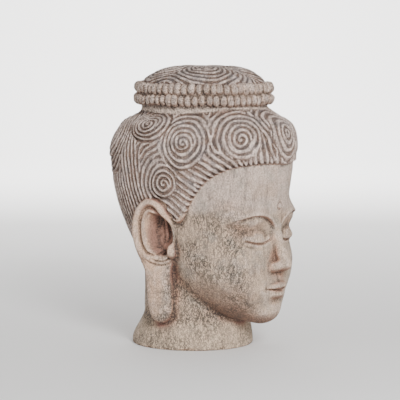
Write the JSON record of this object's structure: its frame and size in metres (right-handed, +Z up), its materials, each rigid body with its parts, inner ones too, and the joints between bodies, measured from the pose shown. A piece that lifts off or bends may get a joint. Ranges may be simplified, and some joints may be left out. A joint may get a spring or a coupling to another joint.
{
  "type": "buddha head sculpture",
  "caption": "Stone-look garden sculpture of a calm head with spiral-curled hair, a topknot ringed by strings of beads, long ears and a flared neck cut flat below.",
  "frame": {"origin": "centre of the flat underside of the neck", "axes": "+Z up to the topknot, -Y the way the face looks, +X the head's own left"},
  "size_m": [0.2815, 0.3648, 0.5005],
  "materials": {
    "stone": "matt stone-look casting, warm beige, with a dark wash left in the grooves and a fine crackle on the skin"
  },
  "bodies": {
    "root": {"buddha_head": "stone"}
  },
  "joints": []
}
